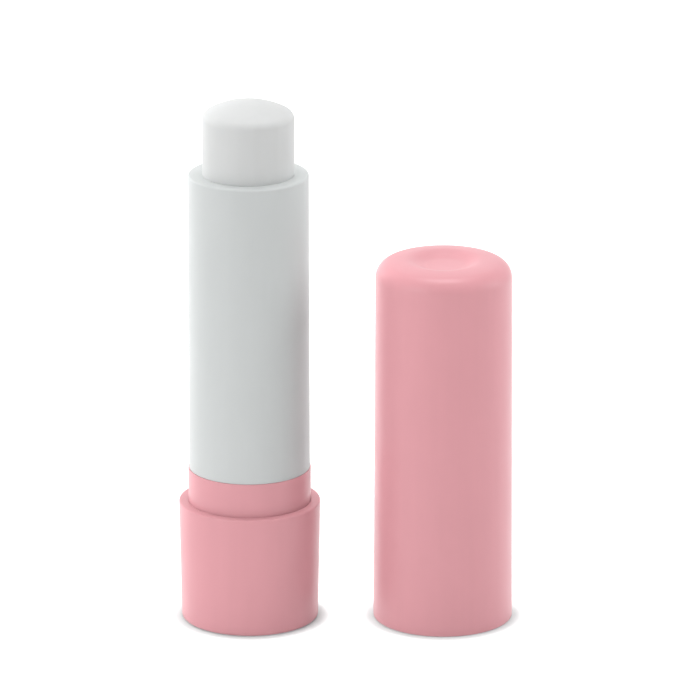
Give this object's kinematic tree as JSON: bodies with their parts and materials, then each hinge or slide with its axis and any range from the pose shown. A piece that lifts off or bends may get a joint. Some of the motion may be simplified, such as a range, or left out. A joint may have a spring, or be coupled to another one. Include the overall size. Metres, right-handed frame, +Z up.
{
  "type": "lip balm stick",
  "caption": "Round twist-up lip balm stick, wound part way up, with its pull-off cap standing beside it: turning the barrel in the base raises the balm.",
  "frame": {"origin": "centre of the base's underside, on the stick's axis", "axes": "+Z up along the stick's axis from the base to the balm; +X from the stick to the cap that stands beside it; -Y faces the viewer"},
  "size_m": [0.0466, 0.0198, 0.0746],
  "materials": {
    "pink_plastic": "satin gloss, moulded, rose pink",
    "white_plastic": "satin, moulded, cool white",
    "natural_plastic": "satin, moulded, uncoloured",
    "balm_wax": "smooth, waxy, slightly translucent"
  },
  "bodies": {
    "base": {"base_shell": "pink_plastic", "collar": "pink_plastic", "spindle": "natural_plastic"},
    "barrel": {"barrel": "white_plastic"},
    "carrier": {"carrier": "natural_plastic", "balm": "balm_wax"},
    "cap": {"cap": "pink_plastic"}
  },
  "joints": [
    {"name": "barrel_twist", "type": "hinge", "parent": "base", "child": "barrel", "pos_m": [0, 0, 0.0221], "axis": [0, 0, 1], "range_deg": [-1093, 2321]},
    {"name": "balm_lift", "type": "slide", "parent": "barrel", "child": "carrier", "axis": [0, 0, 1], "range_m": [-0.01215, 0.0258]},
    {"name": "cap_lift", "type": "slide", "parent": "base", "child": "cap", "axis": [0, 0, 1], "range_m": [0, 0.058]}
  ],
  "couplings": [
    {"joint": "balm_lift", "follows": "barrel_twist", "m_per_rad": 0.00063662}
  ]
}
